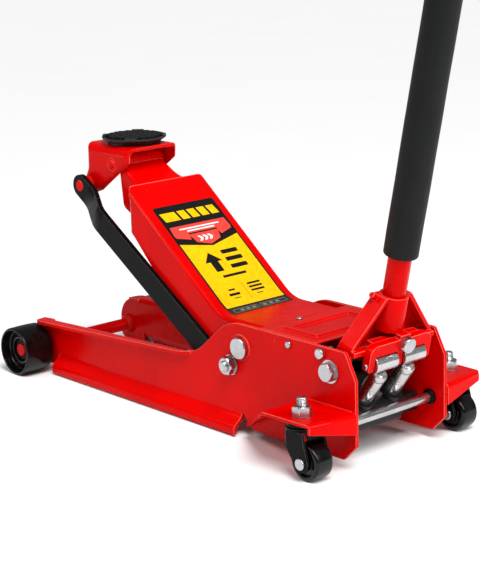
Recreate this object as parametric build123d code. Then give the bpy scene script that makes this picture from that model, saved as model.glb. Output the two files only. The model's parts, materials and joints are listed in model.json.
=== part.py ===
from build123d import *
import math
import os

# Hydraulic trolley jack, 3.5 t, saddle height 98 to 535 mm, shown part raised.
# Millimetres. +X points forwards to the saddle, +Y to the left, +Z up, and the floor is z = 0.
# While modelling, x = 0 is the rear edge of the side plates. place() moves the finished
# pieces so that the origin is on the floor under the middle of the jack's length.

# ---------------------------------------------------------------- frame
PLATE_OUT = 88.0          # outer face of a side plate, from the middle
PLATE_T = 5.0
PLATE_IN = PLATE_OUT - PLATE_T
PLATE_TOP = 162.0
RAIL_TOP = 100.0          # flange height where the front rail begins
RAIL_X = 349.0
RAIL_SLOPE = 2.75         # degrees, the rail falls towards the front
RAIL_END = 724.0
LIP_OUT = 104.0           # outer face of the rail's lower lip
LIP_X = (226.0, 662.0)
STUD_AT = (245.0, 99.6)   # short studs behind the links' feet: x, z
STUD_HOLE_R = 8.4
FRAME_STUD_R = 8.0
STOP_AT = (62.7, 152.5)   # stop pins in front of the yoke: x, z
STOP_R = 6.0
COVER_SCREW_AT = (126.0, 152.0)   # screws through the plates into the cover: x, z
COVER_SCREW_R = 3.0
CAP_SCREW_AT = (183.0, 14.0)      # screw in the cover's top: x, y
CAP_SCREW_R = 2.5
WIRE_HOLE_AT = (153.0, 153.0)     # small open hole near the top edge: x, z
COVER_T = 3.0

# ---------------------------------------------------------------- lift linkage
PIVOT = (224.0, 128.0)    # main pivot of the lift arm: x, z
ARM_LENGTH = 394.5        # main pivot to tip pivot, and the same for the links
ARM_REST = 32.8           # degrees above level
TIP = (PIVOT[0] + ARM_LENGTH * math.cos(math.radians(ARM_REST)),
       PIVOT[1] + ARM_LENGTH * math.sin(math.radians(ARM_REST)))
LINK_SHIFT = (61.0, -38.0)   # link pivots from the arm's pivots, at both ends
LINK_FOOT = (PIVOT[0] + LINK_SHIFT[0], PIVOT[1] + LINK_SHIFT[1])
LINK_TOP = (TIP[0] + LINK_SHIFT[0], TIP[1] + LINK_SHIFT[1])
MAIN_PIN_R = 14.0
TIP_PIN_R = 10.0
RUN = 0.05                # radial clearance of a running fit
ARM_HALF = 73.4           # outer half width of the arm
ARM_T = 5.0
BRACKET_HALF = 48.5
BRACKET_T = 5.0
BRACKET_TOP = 27.0        # above the tip pivot
SADDLE_TOP = 40.0         # above the tip pivot
SADDLE_X = 4.0            # ahead of the tip pivot
SADDLE_R = 49.0
SADDLE_STEM_R = 14.0
PAD_PITCH = 11.0          # between the pad's grooves
PAD_GROOVE = 2.4
LINK_T = 8.0
LINK_OUT = 82.0           # outer face of a link where it is straight
LINK_EYE_OUT = 65.5       # outer face of a link at its eye
LINK_PIN_R = 8.5

# ---------------------------------------------------------------- hydraulic unit
CRANK_R = 60.0
CRANK_MIDDLE = 3.65       # degrees the crank leans forwards of straight down at rest
CRANK_PIN_R = 10.0
RAM_GAP = 2.0
RAM_R = 16.0
RAM_HEAD_R = 20.0
RAM_Z = 75.0
CYLINDER_X = (92.0, 158.0)
BLOCK_HALF = 45.0
PLUNGER_R = 12.5
PLUNGER_Y = 27.0
PLUNGER_TOP = (14.2, 124.0)   # centre of a plunger's top face: x, z
PLUNGER_DIR = (0.6, -0.8)     # down the plunger: x, z
COLLAR_AT = 54.0              # along the plunger, from its top
PLUNGER_LENGTH = 66.0
PLUNGER_STROKE = 32.5

# ---------------------------------------------------------------- handle
YOKE_PIVOT = (46.0, 131.0)
YOKE_BOLT_R = 8.0
LEAN = 12.7               # degrees the handle leans back at rest
YOKE_HALF = 76.0
SOCKET_U = -10.7          # handle axis from the yoke's pivot, across the handle
SOCKET_R = 20.0
HANDLE_R = 16.0
HANDLE_BORE = 14.0
HANDLE_W = (52.0, 1045.0)     # the handle's ends, along the handle from the yoke's pivot
HANDLE_JOINT = 640.0
SLEEVE_R = 24.0
SLEEVE_W = (155.0, 600.0)
GRIP_R = 18.5
GRIP_W = 930.0
GRIP_END = 7.0            # rubber beyond the tube's end
GRIP_ROUND = 2.5
ROLLER = (-33.0, 14.5)    # roller axis from the yoke's pivot: across and along the handle
ROLLER_R = 12.0
CARRIER_BACK = -39.0
CARRIER_FRONT = -27.0
ROLLER_SHAFT_R = 4.5
BUTTON_W = 626.0

# ---------------------------------------------------------------- wheels
AXLE = (704.0, 38.3)       # front axle: x, z
AXLE_R = 10.0
WHEEL_R = 38.3
WHEEL_Y = (94.8, 146.0)
WING_TOP = 83.5
WING_T = 4.5
WING_OUT = 166.0
CASTER = (45.0, 141.0)    # swivel axis: x, y
CASTER_TRAIL = 17.0
CASTER_R = 26.0
CASTER_HALF = 15.0
CASTER_AXLE_R = 5.0
STUD_R = 6.8
TIE_ROD = (26.0, 61.5)
TIE_ROD_R = 7.0


# ---------------------------------------------------------------- helpers
def outline(*corners):
    """A flat face from its corners, each (a, b, rounding radius)."""
    points = [(a, b) for a, b, _ in corners]
    radii = [r for _, _, r in corners]
    return make_face(FilletPolyline(*points, radius=radii, close=True))


def hull(*circles):
    """The face stretched round circles, each (a, b, radius)."""
    edges = [e for a, b, r in circles for e in (Pos(a, b) * Circle(r)).edges()]
    return make_hull(edges)


def side_slab(face, y_low, y_high):
    """Thicken an X-Z face between two distances from the middle."""
    return extrude(Plane.XZ.offset(-y_high) * face, y_high - y_low)


def plan_slab(face, z_low, z_high):
    """Thicken an X-Y face between two heights."""
    return extrude(Plane.XY.offset(z_low) * face, z_high - z_low)


def front_slab(face, x_low, x_high):
    """Thicken a Y-Z face between two x values."""
    return extrude(Plane.YZ.offset(x_low) * face, x_high - x_low)


def cross_rod(at, y_low, y_high, radius):
    """A round bar along Y at (x, z)."""
    return Pos(at[0], (y_low + y_high) / 2, at[1]) * Rot(90, 0, 0) * Cylinder(radius, y_high - y_low)


def upright(at, z_low, z_high, radius):
    """A round bar along Z at (x, y)."""
    return Pos(at[0], at[1], (z_low + z_high) / 2) * Cylinder(radius, z_high - z_low)


def along_x(at, x_low, x_high, radius):
    """A round bar along X at (y, z)."""
    return Pos((x_low + x_high) / 2, at[0], at[1]) * Rot(0, 90, 0) * Cylinder(radius, x_high - x_low)


def hexagon(across, height):
    """A hexagon head or nut blank standing on the origin, its top corners turned off."""
    blank = extrude(RegularPolygon(across / 2, 6, major_radius=False), height)
    turned = Pos(0, 0, height / 2) * Cylinder(across / 2 * 1.13, height)
    turned = chamfer(turned.edges().sort_by(Axis.Z)[-1:], across * 0.08)
    return blank & turned


def facing_left(at, y):
    """Stand a piece on a plate, so that its own +Z points to +Y."""
    return Pos(at[0], y, at[1]) * Rot(-90, 0, 0)


def mirrored(shape):
    """The same piece on the right-hand side."""
    return mirror(shape, about=Plane.XZ)


def both_sides(shape):
    return Compound(children=[shape, mirrored(shape)])


def group(*shapes):
    """Separate solids in one node."""
    return Compound(children=[s for shape in shapes for s in shape.solids()])


def from_tip(*corners):
    """Corners given from the tip pivot."""
    return [(TIP[0] + a, TIP[1] + b, r) for a, b, r in corners]


def in_yoke(shape):
    """Place a piece drawn round the yoke's pivot with the handle upright."""
    return Pos(YOKE_PIVOT[0], 0, YOKE_PIVOT[1]) * Rot(0, -LEAN, 0) * shape


def down_plunger(distance):
    """Point (x, z) this far down a plunger from its top."""
    return (PLUNGER_TOP[0] + PLUNGER_DIR[0] * distance, PLUNGER_TOP[1] + PLUNGER_DIR[1] * distance)


def plunger_bar(y, start, end, radius):
    """A round bar in line with a plunger."""
    x, z = down_plunger(start)
    plane = Plane(origin=(x, y, z), x_dir=(0, 1, 0), z_dir=(PLUNGER_DIR[0], 0, PLUNGER_DIR[1]))
    return plane * Cylinder(radius, end - start, align=(Align.CENTER, Align.CENTER, Align.MIN))


# ---------------------------------------------------------------- frame pieces
def rail_plane():
    slope = math.radians(RAIL_SLOPE)
    return Plane(origin=(RAIL_X, 0, RAIL_TOP),
                 x_dir=(math.cos(slope), 0, -math.sin(slope)),
                 z_dir=(math.sin(slope), 0, math.cos(slope)))


def side_plate():
    """Left side plate: a web with a flanged top and a joggled lower lip on its front rail."""
    fall = math.tan(math.radians(RAIL_SLOPE))
    rail_front = RAIL_TOP - (RAIL_END - RAIL_X) * fall
    web = side_slab(outline(
        (0, 36, 3), (0, 126, 3), (19, PLATE_TOP, 6), (250, PLATE_TOP, 70),
        (324, RAIL_TOP + (RAIL_X - 324) * fall, 60), (RAIL_END, rail_front, 38),
        (RAIL_END, 13, 12), (666, 11, 2), (664, 32, 4), (222, 32, 3),
        (214, 22, 3), (203, 12.5, 4), (22.7, 14, 3)), PLATE_IN, PLATE_OUT)
    flange = rail_plane() * Pos(0, 0, -PLATE_T) * plan_slab(outline(
        (-14, 84, 0), (-14, 88.4, 0), (4, 98, 10), (350, 107, 10), (354, 84, 0)), 0, PLATE_T)
    lip = front_slab(outline(
        (PLATE_IN, 40, 0), (PLATE_OUT, 40, 0), (PLATE_OUT, 28, 7), (LIP_OUT, 14.5, 7),
        (LIP_OUT, 3.5, 0.5), (LIP_OUT - PLATE_T, 3.5, 0.5), (LIP_OUT - PLATE_T, 12, 3),
        (PLATE_IN, 25.5, 11)), *LIP_X)
    plate = web + flange + lip
    bend = 7.0
    corner = Pos(bend / 2, -bend / 2) * Rectangle(bend, bend) - Pos(bend, -bend) * Circle(bend)
    corner = extrude(Plane(origin=(-8, PLATE_IN, 0), x_dir=(0, 1, 0), z_dir=(1, 0, 0)) * corner, 336)
    plate -= rail_plane() * corner
    plate += cross_rod(PIVOT, PLATE_OUT, PLATE_OUT + 2, MAIN_PIN_R + 5)
    foot_pin = cross_rod(LINK_FOOT, LINK_OUT - LINK_T - 0.2, PLATE_IN, LINK_PIN_R)
    plate += chamfer(foot_pin.edges().sort_by(Axis.Y)[:1], 0.6)
    for at, radius in ((PIVOT, MAIN_PIN_R), (YOKE_PIVOT, YOKE_BOLT_R), (TIE_ROD, TIE_ROD_R),
                       (STOP_AT, STOP_R), (COVER_SCREW_AT, COVER_SCREW_R), (STUD_AT, STUD_HOLE_R),
                       (AXLE, AXLE_R), (WIRE_HOLE_AT, 1.5)):
        plate -= cross_rod(at, PLATE_IN - 3, PLATE_OUT + 7, radius)
    return plate


def caster_wing():
    """Bent plate welded outside the left side plate, level over the caster, then a ramp."""
    low = WING_TOP - WING_T
    level = plan_slab(outline((-3, PLATE_OUT, 0), (8, WING_OUT, 6), (94, WING_OUT + 2, 0),
                              (94, PLATE_OUT, 0)), low, WING_TOP)
    flange = plan_slab(outline((-3, PLATE_OUT, 0), (7.7, 164, 0), (12.2, 163.4, 0),
                               (1.5, PLATE_OUT, 0)), 50, WING_TOP)
    flange -= front_slab(outline((80, 40, 0), (170, 40, 0), (170, 71, 0), (PLATE_OUT, 54, 0),
                                 (80, 54, 0)), -20, 30)
    ramp = side_slab(outline((88, WING_TOP, 0), (94, WING_TOP, 0), (206, 24, 0), (203.9, 20, 0),
                             (92.9, low, 0), (88, low, 0)), PLATE_OUT, WING_OUT + 2)
    ramp &= plan_slab(outline((88, PLATE_OUT, 0), (88, WING_OUT + 2, 0), (94, WING_OUT + 2, 0),
                              (206, 98, 0), (206, PLATE_OUT, 0)), 0, 100)
    wing = level + flange + ramp
    bend = [e for e in wing.edges()
            if e.center().Z > WING_TOP - 0.1 and e.center().X < 6 and e.length > 60]
    wing = fillet(bend, 6)
    return wing - upright(CASTER, low - 1, WING_TOP + 1, STUD_R)


def front_axle():
    collar = cross_rod(AXLE, 76, PLATE_IN, 15)
    collar = chamfer(collar.edges().sort_by(Axis.Y)[:1], 2)
    bar = cross_rod(AXLE, -133.5, 133.5, AXLE_R)
    bar = chamfer(bar.edges().sort_by(Axis.Y)[:1] + bar.edges().sort_by(Axis.Y)[-1:], 1)
    return bar + collar + mirrored(collar)


def axle_clip():
    return cross_rod(AXLE, 128.4, 130.4, 15) - cross_rod(AXLE, 128, 131, AXLE_R)


def tie_rod_bush():
    bush = cross_rod(TIE_ROD, 77, PLATE_IN, 11)
    bush = chamfer(bush.edges().sort_by(Axis.Y)[:1], 1.5)
    return bush - cross_rod(TIE_ROD, 76, 84, TIE_ROD_R)


def main_pivot_pin():
    head = cross_rod(PIVOT, PLATE_OUT + 2, 95.5, 15.5)
    head = chamfer(head.edges().sort_by(Axis.Y)[-1:], 1.2)
    return cross_rod(PIVOT, -PLATE_OUT - 2, PLATE_OUT + 2, MAIN_PIN_R) + head + mirrored(head)


def frame_stud():
    """Short stud with a washer and a nut on the outside of the left plate."""
    seat = PLATE_OUT + 2.5
    washer = cross_rod(STUD_AT, PLATE_OUT, seat, 14.5)
    nut = facing_left(STUD_AT, seat) * hexagon(24, 11)
    stud = cross_rod(STUD_AT, PLATE_IN, seat + 14.5, FRAME_STUD_R)
    stud = chamfer(stud.edges().sort_by(Axis.Y)[-1:], 1.5)
    return stud, (washer + nut) - cross_rod(STUD_AT, 85, 110, FRAME_STUD_R)


def yoke_bolt():
    """Shouldered hexagon bolt that the yoke turns on, with its washer outside the plate."""
    shank = cross_rod(YOKE_PIVOT, 68.5, PLATE_OUT + 2, YOKE_BOLT_R)
    shoulder = cross_rod(YOKE_PIVOT, YOKE_HALF + 0.5, PLATE_IN, 14)
    washer = cross_rod(YOKE_PIVOT, PLATE_OUT, 90, 16)
    head = facing_left(YOKE_PIVOT, 90) * Rot(0, 0, 12) * hexagon(24, 9)
    return shank + shoulder + washer + head


def stop_pin():
    """Round-headed pin through the left plate that stops the yoke leaning forwards."""
    head = cross_rod(STOP_AT, PLATE_OUT, PLATE_OUT + 6, STOP_R + 1.5)
    head = fillet(head.edges().sort_by(Axis.Y)[-1:], 1.5)
    return cross_rod(STOP_AT, 70, PLATE_OUT, STOP_R) + head


def cover_plate():
    """Sheet cover between the side plates, with a raised bead round its middle panel."""
    top, edge, height = PLATE_TOP, PLATE_IN - 0.4, 3.2
    sheet = plan_slab(Pos(134.5, 0) * Rectangle(109, 2 * edge), top - COVER_T, top)
    side = side_slab(Pos(126, top - 9) * Rectangle(80, 12), edge - COVER_T, edge)
    centre = Pos(130.5, 0, top)
    bead = centre * extrude(Rectangle(69, 128), height, taper=35)
    pocket = centre * Pos(0, 0, height) * extrude(Rectangle(50, 109), -height, taper=35)
    cover = sheet + side + mirrored(side) + (bead - pocket)
    cover -= cross_rod(COVER_SCREW_AT, -90, 90, COVER_SCREW_R)
    return cover - upright(CAP_SCREW_AT, top - 5, top + 1, CAP_SCREW_R)


def cover_screws():
    """Two screws in the side flanges and one in the top."""
    head = cross_rod(COVER_SCREW_AT, PLATE_OUT, PLATE_OUT + 3, 5.2)
    head = fillet(head.edges().sort_by(Axis.Y)[-1:], 1.8)
    screw = head + cross_rod(COVER_SCREW_AT, PLATE_IN - 5, PLATE_OUT, COVER_SCREW_R)
    cap = upright(CAP_SCREW_AT, PLATE_TOP, PLATE_TOP + 3, 4.5)
    cap = fillet(cap.edges().sort_by(Axis.Z)[-1:], 1.8)
    cap += upright(CAP_SCREW_AT, PLATE_TOP - 5, PLATE_TOP, CAP_SCREW_R)
    return group(screw, mirrored(screw), cap)


def cross_plate():
    return Pos(155, 0, 16) * Box(90, 2 * PLATE_IN, 4)


# ---------------------------------------------------------------- casters
def caster_cup():
    """Bearing cup between the wing and the fork."""
    top = WING_TOP - WING_T
    cup = upright(CASTER, 71, top, 22)
    cup = fillet(cup.edges().sort_by(Axis.Z)[:1], 2.5)
    return cup - upright(CASTER, 60, 90, STUD_R)


def caster_stud():
    head = upright(CASTER, 62.5, 66.5, 10)
    stud = upright(CASTER, 66.5, WING_TOP + 26, STUD_R)
    stud = fillet(stud.edges().sort_by(Axis.Z)[-1:], 2.5)
    return head + stud


def caster_nut():
    seat = WING_TOP + 1.2
    washer = upright(CASTER, WING_TOP, seat, 14)
    nut = Pos(CASTER[0], CASTER[1], seat) * hexagon(24, 13)
    return (washer + nut) - upright(CASTER, 80, 105, STUD_R)


def caster_fork():
    """Pressed fork: a round crown and two legs that trail to the wheel's axle."""
    crown = upright((0, 0), 67, 70.6, 23)
    crown += upright((0, 0), 65, 67, 14) - upright((0, 0), 60, 70, 11)
    leg = hull((-CASTER_TRAIL, CASTER_R, 12.5), (-13, 58, 8), (14, 58, 6))
    leg += Pos(-0.5, 61) * Rectangle(41, 19)
    leg = side_slab(leg, CASTER_HALF + 2, CASTER_HALF + 5.5)
    leg &= upright((0, 0), 0, 70.6, 23) + Pos(-25, 0, 30) * Box(60, 60, 74)
    fork = crown + leg + mirrored(leg)
    fork -= upright((0, 0), 55, 75, STUD_R + RUN)
    fork -= cross_rod((-CASTER_TRAIL, CASTER_R), -30, 30, CASTER_AXLE_R)
    return Pos(CASTER[0], CASTER[1], 0) * fork


def caster_axle():
    at = (-CASTER_TRAIL, CASTER_R)
    head = cross_rod(at, CASTER_HALF + 5.5, CASTER_HALF + 9, 8)
    head = fillet(head.edges().sort_by(Axis.Y)[-1:], 1.2)
    axle = cross_rod(at, -CASTER_HALF - 5.5, CASTER_HALF + 5.5, CASTER_AXLE_R)
    return Pos(CASTER[0], CASTER[1], 0) * (axle + head + mirrored(head))


def caster_wheel():
    half = [(CASTER_AXLE_R + RUN, 16.4, 0), (9.5, 16.4, 0.8), (10.5, 10, 1.5), (18, 10, 2),
            (19.5, CASTER_HALF, 0.8), (CASTER_R - 0.8, CASTER_HALF, 4), (CASTER_R + 0.4, 0, 125.2)]
    other = [(r, -y, f) for r, y, f in reversed(half[:-1])]
    wheel = revolve(outline(*half, *other), Axis.Y)
    return Pos(CASTER[0] - CASTER_TRAIL, CASTER[1], CASTER_R) * wheel


def front_wheel():
    """Front roller with a deeply recessed outer face and a ring round its hub."""
    inner, outer = WHEEL_Y
    face = outline(
        (AXLE_R + RUN, inner, 0), (18, inner, 1), (20, inner + 3, 1.5), (26, inner + 3, 1.5),
        (28, inner, 1.5), (WHEEL_R - 0.8, inner, 6), (WHEEL_R + 0.5, (inner + outer) / 2, 388),
        (WHEEL_R - 0.8, outer, 2.2), (34, outer, 1), (32.2, 131, 3), (23, 131, 1),
        (22, 134, 1), (18.5, 134, 1), (17.5, 128, 1), (AXLE_R + RUN, 128, 0))
    return Pos(AXLE[0], 0, AXLE[1]) * revolve(face, Axis.Y)


# ---------------------------------------------------------------- lift arm
ARM_TAIL_X = 191.5
ARM_TAIL_TOP = 160.0
ARM_BEND = (284.7, 60.0)          # where the top starts to climb: x, radius
ARM_CLIMB = math.tan(math.radians(37.96))
SHOULDER_X = 489.0                # front edge of the wide top plate
SHOULDER_DEPTH = 8.0
NECK_START = (490.5, 312.0)       # neck's top line: x, z
NECK_CLIMB = math.tan(math.radians(31.33))


def arm_top(x, below=0.0):
    """Height of the climbing top plate, or of a line this far under its surface."""
    return ARM_TAIL_TOP + (x - ARM_BEND[0]) * ARM_CLIMB - below * math.hypot(1, ARM_CLIMB)


def neck_top(x, below=0.0):
    return NECK_START[1] + (x - NECK_START[0]) * NECK_CLIMB - below * math.hypot(1, NECK_CLIMB)


def arm_plan(*right):
    """A tall slab from the half-widths along the arm, each (x, half width, radius)."""
    left = [(x, -y, r) for x, y, r in reversed(right)]
    return plan_slab(outline(*right, *left), 40, 400)


def arm_web_plan(inset=0.0):
    """Full width to the shoulder, then tapering to the neck between the bracket's sides."""
    return arm_plan((60, ARM_HALF - inset, 0), (482 - inset, ARM_HALF - inset, 12),
                    (511 - inset, 42.5 - inset, 25), (600, 36 - inset, 0))


def rounded_ridge(solid, radius):
    """Round the edges that run along the top faces of a folded piece."""
    ridge = [e for f in solid.faces() if f.normal_at().Z > 0.6 for e in f.edges()
             if abs(e.tangent_at(0.5).Y) < 0.97]
    return fillet(ridge, radius)


def arm_shell():
    """Folded arm, an upside-down channel whose wide top stops at the neck of the tip pivot."""
    side = outline((ARM_TAIL_X, ARM_TAIL_TOP, 0), (ARM_BEND[0], ARM_TAIL_TOP, ARM_BEND[1]),
                   (SHOULDER_X, arm_top(SHOULDER_X), 0), (SHOULDER_X, 255, 0), (478, 250, 50),
                   (380, 150, 80), (300, 92, 30), (226, 84, 20), (ARM_TAIL_X, 112, 12))
    wide = rounded_ridge(side_slab(side, -ARM_HALF, ARM_HALF), 6.5)
    wide &= arm_plan((60, ARM_HALF, 0), (SHOULDER_X, ARM_HALF, 10))
    under = side_slab(outline((460, arm_top(460, SHOULDER_DEPTH), 0),
                              (SHOULDER_X + 1, arm_top(SHOULDER_X + 1, SHOULDER_DEPTH), 0),
                              (SHOULDER_X + 1, 200, 0), (460, 200, 0)), -90, 90)
    wide -= under - arm_web_plan()
    neck = side_slab(outline((440, neck_top(440), 0), (548, neck_top(548), 0), (546, 327, 0),
                             (540, 278, 12), (SHOULDER_X, 255, 0), (470, 262, 0)), -ARM_HALF, ARM_HALF)
    neck = rounded_ridge(neck & arm_web_plan(), 9)
    back = SHOULDER_X - ARM_T
    inner_bend = ARM_BEND[0] + ARM_T * math.tan(math.radians(37.96 / 2))
    inner = side_slab(outline(
        (ARM_TAIL_X - 60, ARM_TAIL_TOP - ARM_T, 0), (inner_bend, ARM_TAIL_TOP - ARM_T, ARM_BEND[1] + ARM_T),
        (back, arm_top(back, ARM_T), 0), (back, neck_top(back, ARM_T), 0), (600, neck_top(600, ARM_T), 0),
        (600, -60, 0), (ARM_TAIL_X - 60, -60, 0)), -ARM_HALF, ARM_HALF)
    boss = cross_rod(TIP, -42, 42, 16)
    shell = (wide + neck) - (inner & arm_web_plan(ARM_T)) + boss
    shell -= cross_rod(TIP, -60, 60, TIP_PIN_R + RUN)
    return shell - cross_rod(PIVOT, -80, 80, 24)


def arm_pivot_tube():
    tube = cross_rod(PIVOT, -ARM_HALF - 0.5, ARM_HALF + 0.5, 24)
    return tube - cross_rod(PIVOT, -80, 80, MAIN_PIN_R + RUN)


def crank_pin_centre():
    lean = math.radians(CRANK_MIDDLE)
    return (PIVOT[0] + CRANK_R * math.sin(lean), PIVOT[1] - CRANK_R * math.cos(lean))


def arm_crank():
    """Two lugs under the pivot tube and the thick pin that the ram pushes."""
    pin = crank_pin_centre()
    lug = side_slab(hull((*PIVOT, 26.4), (*pin, 14)), 24, 32)
    crank = lug + mirrored(lug) + cross_rod(pin, -32, 32, CRANK_PIN_R)
    return crank - cross_rod(PIVOT, -40, 40, 24)


# ---------------------------------------------------------------- saddle and links
def saddle_bracket():
    """Folded bracket that carries the saddle and stays level."""
    side = outline(*from_tip((-44, BRACKET_TOP, 1), (66, BRACKET_TOP, 3), (67, -12, 16), (76, -28, 10),
                             (76, -52, 13), (46, -52, 10), (29, -46, 10), (6, -30, 20), (-42, 3, 5)))
    bracket = side_slab(side, -BRACKET_HALF, BRACKET_HALF)
    top = TIP[1] + BRACKET_TOP
    bends = [e for e in bracket.edges() if e.center().Z > top - 0.1 and abs(e.center().Y) > 40]
    bracket = fillet(bends, 13)
    inside = Pos(TIP[0], 0, top - BRACKET_T - 60) * Box(200, 2 * (BRACKET_HALF - BRACKET_T), 120)
    bends = [e for e in inside.edges() if e.center().Z > top - BRACKET_T - 0.1 and abs(e.center().Y) > 40]
    bracket -= fillet(bends, 8)
    bracket -= cross_rod(TIP, -60, 60, TIP_PIN_R)
    bracket -= cross_rod(LINK_TOP, -60, 60, LINK_PIN_R)
    return bracket - upright(saddle_centre(), top - 10, top + 5, SADDLE_STEM_R + RUN)


def tip_pin():
    end = cross_rod(TIP, BRACKET_HALF, 52, 6)
    end = fillet(end.edges().sort_by(Axis.Y)[-1:], 2)
    return cross_rod(TIP, -BRACKET_HALF, BRACKET_HALF, TIP_PIN_R) + end + mirrored(end)


def link_top_pin():
    """Pin with a spacing collar between the bracket and the link's eye."""
    pin = cross_rod(LINK_TOP, BRACKET_HALF - BRACKET_T, 66.4, LINK_PIN_R)
    pin = chamfer(pin.edges().sort_by(Axis.Y)[-1:], 0.8)
    return pin + cross_rod(LINK_TOP, BRACKET_HALF, LINK_EYE_OUT - LINK_T - 0.4, 13)


def link():
    """Flat bar with a joggle that brings its upper eye in beside the bracket."""
    end, width = ARM_LENGTH, 17.5
    bar = side_slab(hull((0, 0, width), (end - 50, 0, width), (end, 0, 17)), 40, 100)
    low, high = LINK_OUT - LINK_T, LINK_EYE_OUT - LINK_T
    ribbon = plan_slab(outline(
        (-30, low, 0), (322, low, 55), (364, high, 55), (430, high, 0), (430, LINK_EYE_OUT, 0),
        (364, LINK_EYE_OUT, 55), (322, LINK_OUT, 55), (-30, LINK_OUT, 0)), -40, 40)
    bar &= ribbon
    bar -= cross_rod((0, 0), 40, 100, LINK_PIN_R + RUN)
    bar -= cross_rod((end, 0), 40, 100, LINK_PIN_R + RUN)
    return Pos(LINK_FOOT[0], 0, LINK_FOOT[1]) * Rot(0, -ARM_REST, 0) * bar


def saddle_centre():
    return (TIP[0] + SADDLE_X, 0.0)


def saddle_cup():
    """Cast cup with four raised lugs on its rim and a stem through the bracket."""
    base, rim = BRACKET_TOP + 0.3, SADDLE_TOP - 2
    cup = revolve(Plane.XZ * outline(
        (0, base - 7.9, 0), (SADDLE_STEM_R, base - 7.9, 0.6), (SADDLE_STEM_R, base, 0),
        (40, base, 1), (41, base + 3, 3),
        (SADDLE_R, rim - 2.5, 2), (SADDLE_R, rim, 1), (44.5, rim, 1), (43, base + 4, 1),
        (0, base + 4, 0)), Axis.Z)
    lug = plan_slab(Pos(45.7, 0) * Rectangle(4.6, 18), rim - 1.5, SADDLE_TOP - 0.2)
    lug &= upright((0, 0), 0, 60, SADDLE_R - 0.6)
    for turn in range(4):
        cup += Rot(0, 0, 45 + 90 * turn) * lug
    return Pos(*saddle_centre(), TIP[1]) * cup


def saddle_pad():
    """Rubber pad cut with crossing grooves."""
    low = BRACKET_TOP + 4.3
    pad = upright((0, 0), low, SADDLE_TOP, 41.8)
    for n in range(-3, 4):
        pad -= Pos(n * PAD_PITCH, 0, SADDLE_TOP) * Box(PAD_GROOVE, 100, 4)
        pad -= Pos(0, n * PAD_PITCH, SADDLE_TOP) * Box(100, PAD_GROOVE, 4)
    return Pos(*saddle_centre(), TIP[1]) * pad


def saddle_ring():
    low = BRACKET_TOP - BRACKET_T - 2.4
    ring = upright((0, 0), low, low + 2, SADDLE_STEM_R + 3.5)
    ring -= upright((0, 0), low - 1, low + 3, SADDLE_STEM_R)
    return Pos(*saddle_centre(), TIP[1]) * ring


# ---------------------------------------------------------------- hydraulic unit
def pump_block():
    """Cast block with two slanted wells for the plungers and lugs to the side plates."""
    start = COLLAR_AT + 7
    face_x, face_z = down_plunger(start)
    block = side_slab(outline(
        (face_x - 15.2, face_z - 11.4, 3), (45, 51.3, 4), (45, 36, 4), (49, 33, 3), (92, 33, 3),
        (92, 100, 3), (face_x + (100 - face_z) / 0.75, 100, 8)), -BLOCK_HALF, BLOCK_HALF)
    lug = Pos(68, (BLOCK_HALF + PLATE_IN) / 2, 50) * Box(36, PLATE_IN - BLOCK_HALF, 24)
    block += lug + mirrored(lug)
    for y in (-PLUNGER_Y, PLUNGER_Y):
        block += plunger_bar(y, COLLAR_AT, start + 4, 17)
    for y in (-PLUNGER_Y, PLUNGER_Y):
        block -= plunger_bar(y, COLLAR_AT - 5, PLUNGER_LENGTH + PLUNGER_STROKE + 1.5, PLUNGER_R + RUN)
    block -= plunger_bar(0, start - 5, 78, 5 + RUN)
    return block - along_x((0, RAM_Z), 76, 95, RAM_R + 0.5)


def plunger_wiper(y):
    ring = plunger_bar(y, COLLAR_AT - 2.5, COLLAR_AT, 15.5)
    return ring - plunger_bar(y, COLLAR_AT - 4, COLLAR_AT + 1, PLUNGER_R + RUN)


def plunger(y):
    """Spring-loaded pump plunger: a bright cup with a grooved, domed top."""
    x, z = PLUNGER_TOP
    end = PLUNGER_LENGTH
    face = outline((0, 0, 0), (8.5, 0, 2), (PLUNGER_R - 1, 2.2, 2), (PLUNGER_R, 6.5, 0.6),
                   (PLUNGER_R, 9, 0), (PLUNGER_R - 1.2, 9.4, 0), (PLUNGER_R - 1.2, 11, 0),
                   (PLUNGER_R, 11.4, 0), (PLUNGER_R, end, 0.8), (8, end, 0.8), (8, 30, 1), (0, 30, 0))
    cup = revolve(Plane.XZ * face, Axis.Z)
    plane = Plane(origin=(x, y, z), x_dir=(0, 1, 0), z_dir=(PLUNGER_DIR[0], 0, PLUNGER_DIR[1]))
    return plane * cup


def valve_spindle():
    """Release valve between the plungers, with a slotted head."""
    head = plunger_bar(0, COLLAR_AT - 1, COLLAR_AT + 6.6, 7)
    stem = plunger_bar(0, COLLAR_AT + 6.6, 76, 5)
    x, z = down_plunger(COLLAR_AT - 1)
    slot = Plane(origin=(x, 0, z), x_dir=(0, 1, 0), z_dir=(PLUNGER_DIR[0], 0, PLUNGER_DIR[1])) * Box(20, 2, 5)
    return head + stem - slot


def ram_cylinder():
    low, high = CYLINDER_X
    tube = along_x((0, RAM_Z), low, high - 7, 26) + along_x((0, RAM_Z), high - 7, high, 31)
    return tube - along_x((0, RAM_Z), low - 1, high + 1, RAM_R + RUN)


def reservoir_shell():
    low = CYLINDER_X[0]
    high = CYLINDER_X[1] - 9
    shell = along_x((0, RAM_Z), low, high, 43) - along_x((0, RAM_Z), low - 1, high - 4, 40)
    shell -= along_x((0, RAM_Z), low, high + 1, 26)
    return shell - upright((118, 0), RAM_Z + 30, RAM_Z + 50, 5)


def filler_plug():
    return upright((118, 0), RAM_Z + 37, RAM_Z + 43, 5) + upright((118, 0), RAM_Z + 43, RAM_Z + 48, 8)


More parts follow.
